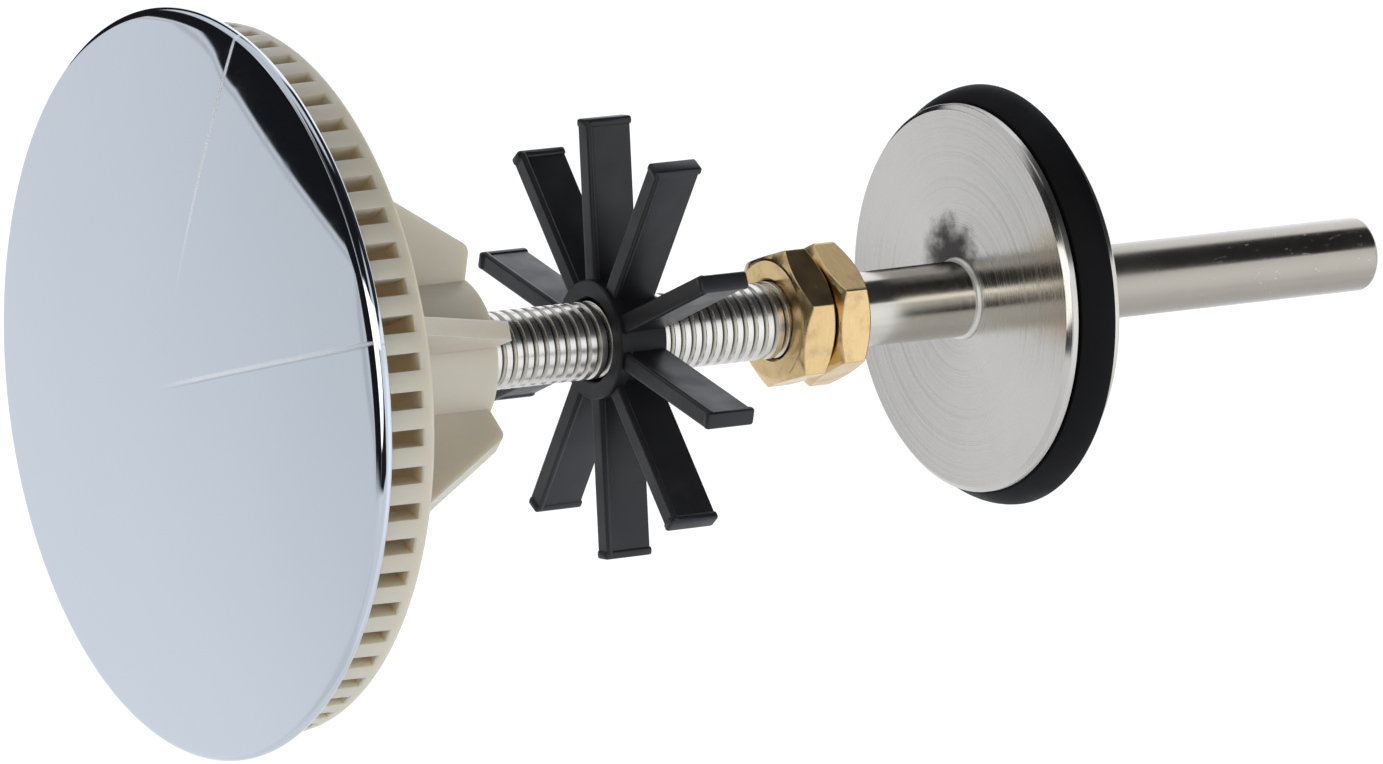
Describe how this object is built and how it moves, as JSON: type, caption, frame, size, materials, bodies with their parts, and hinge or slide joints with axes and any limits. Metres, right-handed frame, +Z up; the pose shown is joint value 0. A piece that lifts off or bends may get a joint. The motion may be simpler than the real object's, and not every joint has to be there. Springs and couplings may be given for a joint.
{
  "type": "pop-up waste plug",
  "caption": "Pop-up waste plug with a chrome cover over a slotted strainer, a threaded stem with a guide star and lock nuts, and a rubber-sealed valve disc.",
  "frame": {"origin": "centre of the stem's lower end face, the end that the lifting mechanism pushes", "axes": "+Z up the stem to the cover; +X and -Y across it, with the creased sector of the cover between them and -Y towards the picture's viewer"},
  "size_m": [0.075, 0.075, 0.1456],
  "materials": {
    "nickel": "bright nickel plate on rolled thread and drawn shank",
    "turned_nickel": "nickel plate over fine turning marks",
    "rubber": "matt black moulded rubber",
    "plate_steel": "plain stamped plate",
    "nut_nickel": "nickel-plated hexagon",
    "bush_brass": "turned brass",
    "ivory_plastic": "slightly translucent ivory moulding",
    "chrome": "mirror chrome plate",
    "black_plastic": "black moulding with a fine grain",
    "nut_brass": "machined brass"
  },
  "bodies": {
    "stem": {"stem_rod": "nickel", "valve_disc": "turned_nickel", "seal_washer": "rubber", "seal_plate": "plate_steel", "clamp_nut": "nut_nickel"},
    "bush": {"threaded_bush": "bush_brass"},
    "cover": {"strainer_carrier": "ivory_plastic", "cover_cap": "chrome"},
    "star": {"guide_star": "black_plastic"},
    "lower_nut": {"lower_lock_nut": "nut_brass"},
    "upper_nut": {"upper_lock_nut": "nut_brass"}
  },
  "joints": [
    {"name": "cover_travel", "type": "slide", "parent": "stem", "child": "bush", "axis": [0, 0, 1], "range_m": [-0.00375, 0.01]},
    {"name": "cover_turn", "type": "hinge", "parent": "bush", "child": "cover", "pos_m": [0, 0, 0.1113], "axis": [0, 0, 1], "range_deg": [-1080, 2880]},
    {"name": "star_slide", "type": "slide", "parent": "stem", "child": "star", "axis": [0, 0, 1], "range_m": [-0.0078, 0.0113]},
    {"name": "lower_nut_travel", "type": "slide", "parent": "stem", "child": "lower_nut", "axis": [0, 0, 1], "range_m": [0, 0.004]},
    {"name": "upper_nut_travel", "type": "slide", "parent": "lower_nut", "child": "upper_nut", "axis": [0, 0, 1], "range_m": [0, 0.004]}
  ],
  "couplings": [
    {"joint": "cover_travel", "follows": "cover_turn", "m_per_rad": 0.00019894}
  ]
}
